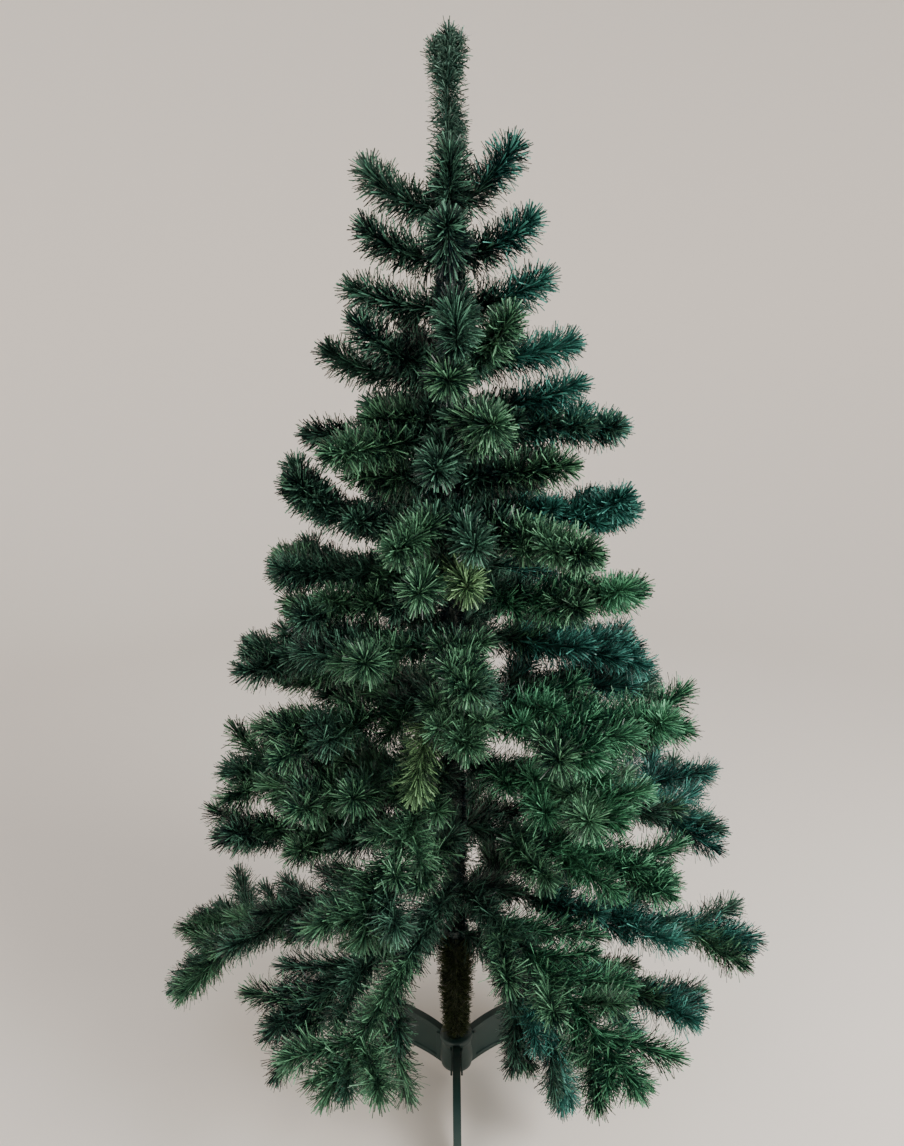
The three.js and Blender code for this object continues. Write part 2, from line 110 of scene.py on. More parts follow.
def make_leg(side, heading):
    """One leg, turned to its heading round the pole."""
    bm = bmesh.new()
    half = LEG_THICKNESS / 2
    rows = [[bm.verts.new((across, -reach, height)) for reach, height in leg_outline()]
            for across in (-half, half)]
    panels = [bm.faces.new(row) for row in rows]
    count = len(rows[0])
    for i in range(count):
        k = (i + 1) % count
        bm.faces.new((rows[0][i], rows[0][k], rows[1][k], rows[1][i]))
    bmesh.ops.recalc_face_normals(bm, faces=bm.faces)
    bmesh.ops.inset_individual(bm, faces=panels, thickness=RIM_WIDTH, depth=0.0)
    bmesh.ops.inset_individual(bm, faces=panels, thickness=WEB_SLOPE, depth=-WEB_DEPTH)
    sharp = [edge for edge in bm.edges if edge.calc_face_angle(0.0) > SHARP_EDGE]
    bmesh.ops.bevel(bm, geom=sharp, offset=LEG_ROUNDING, offset_type="OFFSET", segments=2,
                    profile=0.5, affect="EDGES", clamp_overlap=True, material=-1)
    bmesh.ops.rotate(bm, verts=bm.verts, matrix=Matrix.Rotation(math.radians(heading), 3, "Z"))
    leg = object_from(bm, f"leg_{side}")
    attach(leg, "root")
    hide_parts(f"stand_leg_{side}")
    return leg


legs = [make_leg(side, heading) for side, heading in LEG_HEADINGS.items()]

# Moulded plastic
# The stand's plastic is a very dark green, nearly blue where the light grazes it, with a fine
# sparked grain and a faint haze of wear. One shared group makes both for every smooth piece.
STAND_GREEN = (0.006, 0.024, 0.021, 1.0)
STAND_WORN = (0.016, 0.042, 0.038, 1.0)
STAND_ROUGHNESS = 0.42
STAND_GRAIN = 0.0002
GRAIN_SCALE = 900.0
HAZE_SCALE = 28.0
HAZE_POLISH = 0.08  # how much smoother than its roughness a finish is in places
HAZE_DULLING = 0.10  # and how much rougher in others


def new_group(name, inputs, outputs):
    """A shader node group with named inputs and outputs, and its two end nodes."""
    group = bpy.data.node_groups.new(name, "ShaderNodeTree")
    for in_out, sockets in (("INPUT", inputs), ("OUTPUT", outputs)):
        for label, kind in sockets.items():
            group.interface.new_socket(label, in_out=in_out, socket_type=f"NodeSocket{kind}")
    return group, group.nodes.new("NodeGroupInput"), group.nodes.new("NodeGroupOutput")


def make_moulded_group():
    """A slow haze between two colours and two roughnesses, under a fine grain."""
    group, given, out = new_group(
        "moulded", {"Plain": "Color", "Worn": "Color", "Least Rough": "Float",
                    "Most Rough": "Float", "Grain Height": "Float"},
        {"Base Color": "Color", "Roughness": "Float", "Normal": "Vector"})
    nodes, links = group.nodes, group.links
    place = nodes.new("ShaderNodeTexCoord")
    grain = nodes.new("ShaderNodeTexNoise")
    grain.inputs["Scale"].default_value = GRAIN_SCALE
    grain.inputs["Detail"].default_value = 2.0
    haze = nodes.new("ShaderNodeTexNoise")
    haze.inputs["Scale"].default_value = HAZE_SCALE
    haze.inputs["Detail"].default_value = 5.0
    tint = nodes.new("ShaderNodeMix")
    tint.data_type = "RGBA"
    rough = nodes.new("ShaderNodeMapRange")
    bump = nodes.new("ShaderNodeBump")
    bump.inputs["Strength"].default_value = 0.5
    links.new(place.outputs["Object"], grain.inputs["Vector"])
    links.new(place.outputs["Object"], haze.inputs["Vector"])
    links.new(haze.outputs["Fac"], tint.inputs["Factor"])
    links.new(given.outputs["Plain"], tint.inputs["A"])
    links.new(given.outputs["Worn"], tint.inputs["B"])
    links.new(haze.outputs["Fac"], rough.inputs["Value"])
    links.new(given.outputs["Least Rough"], rough.inputs["To Min"])
    links.new(given.outputs["Most Rough"], rough.inputs["To Max"])
    links.new(grain.outputs["Fac"], bump.inputs["Height"])
    links.new(given.outputs["Grain Height"], bump.inputs["Distance"])
    links.new(tint.outputs["Result"], out.inputs["Base Color"])
    links.new(rough.outputs["Result"], out.inputs["Roughness"])
    links.new(bump.outputs["Normal"], out.inputs["Normal"])
    return group


def grouped_material(name, group, values):
    """A material that a shared group gives its looks, placed with this material's own values."""
    material = bpy.data.materials.new(name)
    material.use_nodes = True
    nodes, links = material.node_tree.nodes, material.node_tree.links
    look = nodes.new("ShaderNodeGroup")
    look.node_tree = group
    for label, value in values.items():
        look.inputs[label].default_value = value
    for output in look.outputs:
        links.new(output, nodes["Principled BSDF"].inputs[output.name])
    return material


moulded_group = make_moulded_group()


def moulded_material(name, plain, worn, roughness, grain_height):
    return grouped_material(name, moulded_group, {
        "Plain": plain, "Worn": worn, "Least Rough": roughness - HAZE_POLISH,
        "Most Rough": roughness + HAZE_DULLING, "Grain Height": grain_height})


stand_plastic = moulded_material("stand_plastic", STAND_GREEN, STAND_WORN, STAND_ROUGHNESS,
                                 STAND_GRAIN)
for leg in legs:
    leg.data.materials.append(stand_plastic)

# Hub of the stand
# A barrel of the same plastic that takes the foot of the pole, with a lip above, a waist and a
# fuller lower half. It is turned from one profile. Two cheeks beside each leg are blocks with
# rounded edges, fused by sinking them into the barrel.
HUB_PROFILE = [(0.0, 0.022), (0.0250, 0.022), (0.0290, 0.0255), (0.0305, 0.034), (0.0302, 0.050),
               (0.0284, 0.060), (0.0280, 0.074), (0.0292, 0.080), (0.0305, 0.083), (0.0305, 0.089),
               (0.0285, 0.092), (0.0180, 0.092), (0.0143, 0.0895), (0.0143, 0.032), (0.0, 0.032)]
HUB_STEPS = 72
CHEEK_SIZE = (0.0036, 0.0150, 0.058)
CHEEK_MIDDLE = (0.0100, 0.0300, 0.054)
CHEEK_ROUNDING = 0.0008
WELD = 1e-6  # points closer than this are merged


def spin_into(bm, profile, steps):
    """Spins a profile of radius and height all the way round the pole's axis."""
    verts = [bm.verts.new((radius, 0.0, height)) for radius, height in profile]
    edges = [bm.edges.new(pair) for pair in zip(verts, verts[1:])]
    bmesh.ops.spin(bm, geom=verts + edges, cent=(0, 0, 0), axis=(0, 0, 1), dvec=(0, 0, 0),
                   angle=math.tau, steps=steps, use_merge=True, use_duplicate=False)


def turned(profile, steps, name):
    """A smooth round object from one profile."""
    bm = bmesh.new()
    spin_into(bm, profile, steps)
    bmesh.ops.remove_doubles(bm, verts=bm.verts, dist=WELD)
    made = object_from(bm, name)
    made.data.shade_smooth()
    return made


def add_block(bm, size, middle, heading, rounding):
    """Adds a block with rounded edges, its middle turned to a heading round the pole."""
    made = bmesh.ops.create_cube(bm, size=1.0)["verts"]
    bmesh.ops.scale(bm, verts=made, vec=size)
    bmesh.ops.translate(bm, verts=made, vec=(middle[0], -middle[1], middle[2]))
    bmesh.ops.rotate(bm, verts=made, matrix=Matrix.Rotation(math.radians(heading), 3, "Z"))
    edges = {edge for vert in made for edge in vert.link_edges}
    bmesh.ops.bevel(bm, geom=list(edges), offset=rounding, offset_type="OFFSET", segments=2,
                    profile=0.5, affect="EDGES", clamp_overlap=True, material=-1)


hub = turned(HUB_PROFILE, HUB_STEPS, "hub")
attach(hub, "root")
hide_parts("stand_hub")
hub.data.materials.append(stand_plastic)

cheeks_bm = bmesh.new()
for heading in LEG_HEADINGS.values():
    for side in (-1, 1):
        middle = (side * CHEEK_MIDDLE[0], CHEEK_MIDDLE[1], CHEEK_MIDDLE[2])
        add_block(cheeks_bm, CHEEK_SIZE, middle, heading, CHEEK_ROUNDING)
cheeks = object_from(cheeks_bm, "hub_cheeks")
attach(cheeks, "root")
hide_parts("stand_hub")
cheeks.data.materials.append(stand_plastic)

# Pole
# Three thin steel tubes, painted dark green, each crimped at its top and pushed into the next.
# They are turned from one profile with the crimps and rolled ends as steps in it, and the foot
# stands in the hub's socket.
POLE_FOOT = 0.034
POLE_TOP = 1.600
POLE_JOINTS = [0.590, 1.060]
POLE_RADII = [0.014, 0.0125, 0.011]
POLE_STEPS = 48
POLE_EDGE = 0.001  # chamfer at both ends
ROLLED_EDGE = 0.0004  # a rolled end and a crimp go in and out by this
ROLL_START = 0.0020
ROLL_TOP = 0.0006
CRIMP_HEIGHTS = (0.0012, 0.0050, 0.0080)
# The paint is very dark: part the tubes' own dark green and part painted shade, for the pole stands in
# the shade of the boughs.
POLE_PAINT_AND_SHADE = (0.010, 0.024, 0.018, 1.0)
POLE_RUBBED = (0.026, 0.045, 0.036, 1.0)
POLE_ROUGHNESS = 0.36
POLE_GRAIN = 0.00005


def pole_radius(height):
    """Radius of the tube that is at a height."""
    return POLE_RADII[sum(height > joint for joint in POLE_JOINTS)]


def pole_profile():
    """Radius and height up the three tubes, with a rolled end and a crimp at each joint."""
    foot, top = POLE_RADII[0], POLE_RADII[-1]
    points = [(0.0, POLE_FOOT), (foot - POLE_EDGE, POLE_FOOT), (foot, POLE_FOOT + POLE_EDGE)]
    crimp_foot, crimp_top, crimp_end = CRIMP_HEIGHTS
    for joint, below, above in zip(POLE_JOINTS, POLE_RADII, POLE_RADII[1:]):
        points += [(below, joint - ROLL_START), (below - ROLLED_EDGE, joint - ROLL_TOP),
                   (above + ROLLED_EDGE, joint), (above - ROLLED_EDGE, joint + crimp_foot),
                   (above - ROLLED_EDGE, joint + crimp_top), (above, joint + crimp_end)]
    points += [(top, POLE_TOP - POLE_EDGE), (top - POLE_EDGE, POLE_TOP), (0.0, POLE_TOP)]
    return points


pole = turned(pole_profile(), POLE_STEPS, "pole_tubes")
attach(pole, "root")
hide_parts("pole")
pole.data.materials.append(
    moulded_material("pole_paint_and_shade", POLE_PAINT_AND_SHADE, POLE_RUBBED, POLE_ROUGHNESS, POLE_GRAIN))

# Boughs and twigs, as wires
# Every bough is a stem of twisted steel wire with side tips tied to it. The rows are the boughs
# from the top down, those in front as the photo shows them: heading, length, rise at the pole
# and at the tip, pairs of side tips, bend sideways, and which green its needles are.
SEED = 1447083368
DRAW_FACTOR = 48271
DRAW_RANGE = 2147483647
GAP = 0.0003  # between the pole and a stem
ROOT_RADIUS = 0.0026
CLEARANCE = 0.015  # a side tip that comes closer than this to another bough is left out
STEM_POINTS = 10
SIDE_POINTS = 4
SIDE_SPREAD = (38, 52)  # of a side tip from its stem
SIDE_LIFT = (-14, 18)  # of a side tip above its stem
SIDE_LENGTH = (0.9, 1.1)
SIDE_CURL = (5, 25)  # upward bend of a side tip
SIDE_TURN = (0, 15)  # of a side tip back towards its stem
FIRST_PAIR = 0.78  # place of the outer pair of side tips along the stem
PAIR_STEP = 0.26  # from there to the next pair in
PAIR_GROWTH = 0.15  # how much longer that pair is
TOP_SECTION_TIERS = 8
# The green of each bough is dealt by where it stands in the light. The blue-greens on the right and
# front right paint the window's cool light, the lightest green paints the lit front, and the deepest
# paints shade on the back, the left and the middle of the crown. The middle green is the film's own,
# and each spray is then dealt from a mix round its bough's green, which is the film's own uneven tone.
TIERS = [  # height on the pole, length of a side tip, boughs
    (1.555, 0.000, [(95, 0.115, 39, 51, 0, -11, "teal_window_lit"), (5, 0.075, 60, 80, 0, -9, "deep_shaded"),
                    (-98, 0.131, 3, 53, 0, -11, "deep_shaded"), (180, 0.110, 5, 35, 0, 7, "deep_shaded")]),
    (1.487, 0.000, [(80, 0.122, 5, 45, 0, -5, "teal_window_lit"), (-2, 0.115, 12, 27, 0, 3, "deep_shaded"),
                    (-80, 0.122, -2, 43, 0, -1, "deep_shaded"), (175, 0.130, 0, 35, 0, 8, "deep_shaded")]),
    (1.413, 0.000, [(85, 0.138, 5, 33, 0, 0, "teal_window_lit"), (8, 0.141, 4, -46, 0, -10, "deep_shaded"),
                    (-88, 0.138, 4, 22, 0, -5, "deep_shaded"), (180, 0.140, 0, 35, 0, -6, "deep_shaded")]),
    (1.331, 0.000, [(45, 0.136, 9, 59, 0, 2, "mid"), (-60, 0.155, 1, 51, 0, -11, "deep_shaded"),
                    (-150, 0.158, 4, 29, 0, -11, "deep_shaded"), (140, 0.158, 4, 39, 0, 2, "mid"),
                    (98, 0.186, 5, 13, 0, 8, "teal_window_lit"), (-95, 0.180, -20, 35, 0, 10, "deep_shaded"),
                    (-5, 0.150, -4, -4, 0, 9, "mid"), (185, 0.189, -5, 20, 0, -10, "deep_shaded")]),
    (1.256, 0.000, [(92, 0.190, 5, 22, 0, -4, "teal_window_lit"), (12, 0.190, 0, 5, 0, 12, "mid"),
                    (-60, 0.121, -5, 5, 0, -11, "mid"), (-130, 0.155, -3, 5, 0, 4, "deep_shaded"),
                    (-168, 0.185, 0, 15, 0, 5, "mid")]),
    (1.225, 0.000, [(92, 0.253, 6, -4, 0, 4, "teal_window_lit"), (28, 0.150, 5, 10, 0, -6, "mid"),
                    (-4, 0.165, -5, -15, 0, -7, "deep_shaded"), (-50, 0.211, -4, 1, 0, 1, "mid"),
                    (-92, 0.210, -5, 5, 0, -8, "deep_shaded"), (-160, 0.225, 0, 10, 0, 7, "deep_shaded"),
                    (135, 0.235, 0, 2, 0, 1, "deep_shaded")]),
    (1.155, 0.000, [(66, 0.181, 10, 10, 0, 5, "mid"), (-72, 0.147, 4, 10, 0, -6, "mid"),
                    (-135, 0.215, 0, 5, 0, 5, "deep_shaded"), (135, 0.215, 0, 5, 0, -5, "deep_shaded"),
                    (180, 0.225, 0, 8, 0, 6, "mid")]),
    (1.101, 0.070, [(88, 0.270, -3, 5, 1, -4, "teal_window_lit"), (52, 0.255, -9, -1, 0, -8, "mid"),
                    (14, 0.150, -5, -10, 0, -2, "deep_shaded"), (-20, 0.190, 0, -10, 0, -9, "mid"),
                    (-72, 0.261, -20, 50, 1, -6, "deep_shaded"), (-145, 0.200, 0, 6, 0, 10, "deep_shaded"),
                    (142, 0.240, -1, 6, 0, 3, "deep_shaded"), (180, 0.255, 0, 8, 0, 10, "deep_shaded")]),
    (1.015, 0.075, [(6, 0.162, 14, -6, 0, 4, "front_lit"), (-84, 0.262, -3, 1, 1, 0, "deep_shaded"),
                    (-20, 0.215, 5, 5, 0, 17, "mid"), (115, 0.180, -11, -16, 0, 5, "teal_window_lit"),
                    (-160, 0.280, 0, 5, 1, 7, "deep_shaded")]),
    (0.980, 0.080, [(62, 0.285, -4, 9, 2, 16, "fresh_window_lit"), (-64, 0.244, -6, -1, 1, -10, "mid"),
                    (165, 0.285, 0, 5, 1, 1, "mid"), (-114, 0.290, 0, 5, 1, 5, "deep_shaded")]),
    (0.890, 0.095, [(-82, 0.318, -8, 3, 3, -1, "deep_shaded"), (8, 0.250, 6, 0, 0, -7, "mid"),
                    (-45, 0.220, 5, 5, 1, 2, "mid"), (106, 0.335, -8, -14, 3, 4, "teal_window_lit"),
                    (-150, 0.340, 0, 5, 2, -11, "deep_shaded"), (165, 0.330, 0, 5, 2, 0, "deep_shaded")]),
    (0.790, 0.100, [(66, 0.371, -5, 3, 3, 6, "fresh_window_lit"), (40, 0.306, -2, 4, 1, -3, "fresh_window_lit"),
                    (4, 0.250, 12, 2, 0, 0, "mid"), (-22, 0.209, 7, -60, 0, 10, "front_lit"),
                    (-62, 0.291, -9, 4, 2, -9, "mid"), (-118, 0.372, -5, 0, 3, -5, "deep_shaded"),
                    (118, 0.392, -9, -4, 3, -7, "teal_window_lit")]),
    (0.660, 0.105, [(98, 0.478, -18, -18, 3, -11, "teal_window_lit"), (50, 0.330, 13, -5, 2, -11, "fresh_window_lit"),
                    (-24, 0.379, -3, -22, 1, 9, "mid"), (-54, 0.290, 2, 7, 2, -6, "mid"),
                    (-86, 0.366, -2, 7, 3, 11, "deep_shaded"), (-165, 0.400, 0, 0, 3, -4, "mid")]),
    (0.540, 0.110, [(68, 0.362, -2, -8, 3, 3, "fresh_window_lit"), (-10, 0.230, 15, 5, 0, -8, "mid"),
                    (-80, 0.383, 4, 9, 3, 12, "deep_shaded"), (-135, 0.420, 0, -3, 3, 8, "deep_shaded"),
                    (115, 0.551, -4, -7, 3, 7, "teal_window_lit")]),
    (0.420, 0.115, [(88, 0.519, -13, -5, 3, -10, "teal_window_lit"), (37, 0.454, -3, -18, 3, -6, "fresh_window_lit"),
                    (62, 0.330, -30, -85, 0, -69, "deep_shaded"), (-22, 0.423, -3, -20, 1, -8, "mid"),
                    (-48, 0.379, -23, -23, 2, -20, "deep_shaded"), (-92, 0.551, 0, -45, 3, 6, "deep_shaded"),
                    (180, 0.385, 0, -5, 3, 9, "deep_shaded")]),
    (0.320, 0.115, [(80, 0.434, -24, -2, 2, -4, "teal_window_lit"), (55, 0.360, 3, -90, 0, -20, "teal_window_lit"),
                    (-75, 0.330, 5, -78, 0, 136, "mid"), (-102, 0.520, -5, -13, 2, -11, "deep_shaded"),
                    (152, 0.375, 3, -9, 2, 4, "mid")]),
]


class Draw:
    """Even random numbers from one seed, the same ones as the solid boughs were laid with."""

    def __init__(self, seed):
        self.state = seed

    def __call__(self, low, high):
        self.state = self.state * DRAW_FACTOR % DRAW_RANGE
        return low + (high - low) * self.state / DRAW_RANGE


def direction(heading, rise):
    """A unit vector: heading 0 is the front and 90 the right, and rise is above the level."""
    level = math.cos(math.radians(rise))
    return np.array([level * math.sin(math.radians(heading)),
                     -level * math.cos(math.radians(heading)), math.sin(math.radians(rise))])


def lay_wire(start, heading, rise_start, rise_end, length, turn, count):
    """Points of a wire whose rise goes evenly from one angle to the other."""
    points = [np.array(start, float)]
    for i in range(count):
        share = (i + 0.5) / count
        rise = rise_start + (rise_end - rise_start) * share
        points.append(points[-1] + direction(heading + turn * share, rise) * length / count)
    return np.array(points)


def point_at(wire, share):
    """The point at a share of the way along a wire."""
    place = share * (len(wire) - 1)
    first = min(int(place), len(wire) - 2)
    return wire[first] + (wire[first + 1] - wire[first]) * (place - first)


def distances(points, wires):
    """The least distance from any of some points to any of some wires."""
    starts = np.concatenate([wire[:-1] for wire in wires])
    runs = np.concatenate([wire[1:] for wire in wires]) - starts
    away = points[:, None, :] - starts[None]
    share = np.clip((away * runs[None]).sum(2) / (runs * runs).sum(1)[None], 0.0, 1.0)
    return np.linalg.norm(away - share[..., None] * runs[None], axis=2).min()


draw = Draw(SEED)
boughs = []
for tier, (height, side_tip, rows) in enumerate(TIERS):
    for place, (heading, length, rise_start, rise_end, pairs, turn, green) in enumerate(rows):
        tilt = ROOT_RADIUS * abs(math.sin(math.radians(rise_start)))
        root = direction(heading, 0) * (pole_radius(height) + GAP + tilt)
        root[2] = height
        node = f"whorl_{tier + 1:02d}" if tier < TOP_SECTION_TIERS else (
            f"branch_{tier + 1:02d}_{'abcdefg'[place]}")
        boughs.append({
            "tier": tier, "node": node, "heading": heading, "turn": turn, "rise_start": rise_start,
            "rise_end": rise_end, "pairs": pairs, "side_tip": side_tip, "green": green,
            "stem": lay_wire(root, heading, rise_start, rise_end, length, turn, STEM_POINTS),
            "sides": [], "twigs": []})


def lay_side_tip(bough, share, side, spread, lift, length, curl, turn_back):
    """A side tip laid from a place along its stem, and whether it keeps clear of other boughs."""
    foot = point_at(bough["stem"], share)
    rise = bough["rise_start"] + (bough["rise_end"] - bough["rise_start"]) * share + lift
    heading = bough["heading"] + bough["turn"] * share + side * spread
    wire = lay_wire(foot, heading, rise, rise + curl, length, -side * turn_back, SIDE_POINTS)
    limbs = [limb for other in boughs if other is not bough
             for limb in [other["stem"]] + other["sides"]]
    return wire, distances(wire, limbs) > CLEARANCE


for bough in boughs:
    for pair in range(bough["pairs"]):
        for side in (-1, 1):
            spread = draw(*SIDE_SPREAD)
            lift = draw(*SIDE_LIFT)
            length = bough["side_tip"] * (1 + PAIR_GROWTH * pair) * draw(*SIDE_LENGTH)
            wire, free = lay_side_tip(bough, FIRST_PAIR - PAIR_STEP * pair, side, spread, lift, length,
                                      draw(*SIDE_CURL), draw(*SIDE_TURN))
            if free:
                bough["sides"].append(wire)

# Finer twigs
# Between the pairs of side tips the real boughs carry shorter ones of the same wire. The same
# rule lays them at the places between, none longer than the stem that is left beyond them. The
# floor shows through in front, round the sleeve, so no twig is kept in that space.
TWIG_PLACES = (0.86, 0.65, 0.44, 0.24)
TWIG_SPREAD = (26, 44)
TWIG_LIFT = (-20, 26)
TWIG_LENGTH = (0.6, 0.9)  # as shares of a side tip's
TWIG_CURL = (0, 20)
TWIG_TURN = (0, 10)
LEAST_REACH = 0.060  # the length they are a share of, on boughs with shorter side tips
LONG_STEM = 0.24  # shorter boughs carry no twigs
OPEN_HEADING = 26.0
OPEN_REACH = 0.34
OPEN_TOP = 0.46


def length_of(wire):
    """The length of a wire along its points."""
    return np.linalg.norm(np.diff(wire, axis=0), axis=1).sum()


def in_open_space(wire):
    """Whether a wire comes into the open space in front of the sleeve."""
    headings = np.degrees(np.arctan2(wire[:, 0], -wire[:, 1]))
    near = np.hypot(wire[:, 0], wire[:, 1]) < OPEN_REACH
    return bool(np.any(near & (np.abs(headings) < OPEN_HEADING) & (wire[:, 2] < OPEN_TOP)))


for bough in boughs:
    if np.linalg.norm(bough["stem"][-1] - bough["stem"][0]) < LONG_STEM:
        continue
    reach = max(bough["side_tip"], LEAST_REACH)
    for share in TWIG_PLACES:
        left = (1 - share) * length_of(bough["stem"])
        for side in (-1, 1):
            wire, free = lay_side_tip(bough, share, side, draw(*TWIG_SPREAD), draw(*TWIG_LIFT),
                                      min(reach * draw(*TWIG_LENGTH), left),
                                      draw(*TWIG_CURL), draw(*TWIG_TURN))
            if free and not in_open_space(wire):
                bough["twigs"].append(wire)

# Stem wires
# A stem is two steel wires twisted together and wrapped in green film. Each is a swept tube of
# oval section that turns as it goes, thin on the side tips, and all are joined into one piece
# for each section of the tree.
SECTIONS = {  # the tiers that share a piece, counted from 0 at the top
    "top": range(TOP_SECTION_TIERS), "middle": range(TOP_SECTION_TIERS, 11),
    "lower": range(11, 14), "bottom": range(14, len(TIERS))}
STEM_WIRE = (0.0026, 0.0014)  # radius at its root and at its tip
SIDE_WIRE = (0.0018, 0.0011)
TWIG_WIRE = (0.0014, 0.0009)
WIRE_STEP = 0.006
WIRE_PITCH = 0.024  # length of one full twist
WIRE_OVAL = 0.28
WIRE_SIDES = 6
WIRE_GREEN = (0.016, 0.040, 0.022, 1.0)
WIRE_WORN = (0.03, 0.06, 0.035, 1.0)
WIRE_ROUGHNESS = 0.5
WIRE_GRAIN = 0.0002
STEEP = 0.9  # height per length above which a wire is steep


def between(places, reached, values):
    """Values along a wire at places between its points."""
    return np.stack([np.interp(places, reached, values[:, k]) for k in range(3)], 1)


def frames_along(wire, step):
    """Evenly spaced points of a wire with its direction and two directions across it."""
    parts = np.linalg.norm(np.diff(wire, axis=0), axis=1)
    reached = np.concatenate([[0.0], np.cumsum(parts)])
    count = max(2, int(round(reached[-1] / step)) + 1)
    places = np.linspace(0.0, reached[-1], count)
    points = between(places, reached, wire)
    along = np.gradient(points, axis=0)
    along /= np.linalg.norm(along, axis=1)[:, None]
    guide = np.where(np.abs(along[:, 2:3]) > STEEP, [[0.0, 1.0, 0.0]], [[0.0, 0.0, 1.0]])
    across = np.cross(along, guide)
    across /= np.linalg.norm(across, axis=1)[:, None]
    return places, points, along, across, np.cross(across, along)


def swept_wire(wire, thick, thin):
    """Vertices and triangles of a twisted oval tube along a wire."""
    places, points, _, across, up = frames_along(wire, WIRE_STEP)
    width = np.interp(places, [0.0, places[-1]], [thick, thin])
    angles = np.arange(WIRE_SIDES) * math.tau / WIRE_SIDES
    oval = 1.0 + WIRE_OVAL * np.cos(2 * angles)
    turned_by = places * math.tau / WIRE_PITCH
    angle = angles[None] + turned_by[:, None]
    radius = width[:, None] * oval[None]
    rings = (points[:, None] + across[:, None] * (radius * np.cos(angle))[..., None]
             + up[:, None] * (radius * np.sin(angle))[..., None])
    verts = np.concatenate([rings.reshape(-1, 3), points[:1], points[-1:]])
    faces = []
    last = len(places) - 1
    for i in range(last):
        for k in range(WIRE_SIDES):
            a, b = i * WIRE_SIDES + k, i * WIRE_SIDES + (k + 1) % WIRE_SIDES
            faces += [(a, b, b + WIRE_SIDES), (a, b + WIRE_SIDES, a + WIRE_SIDES)]
    foot, end = len(verts) - 2, len(verts) - 1
    for k in range(WIRE_SIDES):
        b = (k + 1) % WIRE_SIDES
        faces += [(foot, b, k), (end, last * WIRE_SIDES + k, last * WIRE_SIDES + b)]
    return verts, np.array(faces)


def mesh_of(name, verts, faces, smooth):
    """A mesh object at the origin from arrays of vertices and triangles."""
    mesh = bpy.data.meshes.new(name)
    mesh.vertices.add(len(verts))
    mesh.vertices.foreach_set("co", verts.astype(np.float32).ravel())
    mesh.loops.add(faces.size)
    mesh.loops.foreach_set("vertex_index", faces.astype(np.int32).ravel())
    mesh.polygons.add(len(faces))
    mesh.polygons.foreach_set("loop_start", np.arange(0, faces.size, 3, dtype=np.int32))
    mesh.polygons.foreach_set("use_smooth", np.full(len(faces), smooth, dtype=bool))
    mesh.update(calc_edges=True)
    mesh.validate()
    made = bpy.data.objects.new(name, mesh)
    bpy.context.collection.objects.link(made)
    return made


def joined(parts):
    """Several arrays of vertices and triangles as one."""
    offsets = np.cumsum([0] + [len(verts) for verts, _ in parts[:-1]])
    return (np.concatenate([verts for verts, _ in parts]),
            np.concatenate([faces + offset for (_, faces), offset in zip(parts, offsets)]))


wire_film = moulded_material("wire_film", WIRE_GREEN, WIRE_WORN, WIRE_ROUGHNESS, WIRE_GRAIN)
for section, tiers in SECTIONS.items():
    parts = []
    for bough in boughs:
        if bough["tier"] in tiers:
            parts.append(swept_wire(bough["stem"], *STEM_WIRE))
            parts += [swept_wire(wire, *SIDE_WIRE) for wire in bough["sides"]]
            parts += [swept_wire(wire, *TWIG_WIRE) for wire in bough["twigs"]]
    wires = mesh_of(f"wires_{section}", *joined(parts), True)
    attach(wires, "root")
    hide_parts(*sorted({b["node"] for b in boughs if b["tier"] in tiers}))
    wires.data.materials.append(wire_film)

# Holders of the boughs
# Below the top section each bough hooks into a steel ring on the pole, with a pocket for every
# bough. The rings are turned, their pockets are small rounded blocks, and all are one joined
# piece. In the top section the boughs are wound on narrow collars.
HOLDER_HEIGHT = 0.014
HOLDER_WALL = 0.0042
POCKET_SIZE = (0.0095, 0.0075, 0.0170)
POCKET_OUT = 0.0020  # from the ring's face to a pocket's middle
POCKET_ROUNDING = 0.0012
COLLAR_HEIGHT = 0.009
COLLAR_WALL = 0.0040
RING_GAP = 0.0002
RING_CHAMFER = 0.3  # as a share of its wall
RING_STEPS = 36


def ring_into(bm, radius, wall, height, middle):
    """Spins a ring with chamfered edges round the pole into a bmesh."""
    low, high, edge = middle - height / 2, middle + height / 2, wall * RING_CHAMFER
    outer = radius + wall
    spin_into(bm, [(radius, low), (outer - edge, low), (outer, low + edge), (outer, high - edge),
                   (outer - edge, high), (radius, high), (radius, low)], RING_STEPS)


holders_bm, collars_bm = bmesh.new(), bmesh.new()
for tier, (height, _, rows) in enumerate(TIERS):
    radius = pole_radius(height) + RING_GAP
    if tier < TOP_SECTION_TIERS:
        ring_into(collars_bm, radius, COLLAR_WALL, COLLAR_HEIGHT, height)
        continue
    ring_into(holders_bm, radius, HOLDER_WALL, HOLDER_HEIGHT, height)
    for heading, *_ in rows:
        add_block(holders_bm, POCKET_SIZE, (0.0, radius + HOLDER_WALL + POCKET_OUT, height), heading,
                  POCKET_ROUNDING)
for name, bm, slot_name, finish in (("bough_holders", holders_bm, "pole_steel", stand_plastic),
                                    ("whorl_collars", collars_bm, "needles", wire_film)):
    bmesh.ops.remove_doubles(bm, verts=bm.verts, dist=WELD)
    part = object_from(bm, name)
    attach(part, "root")
    part.data.materials.append(finish)

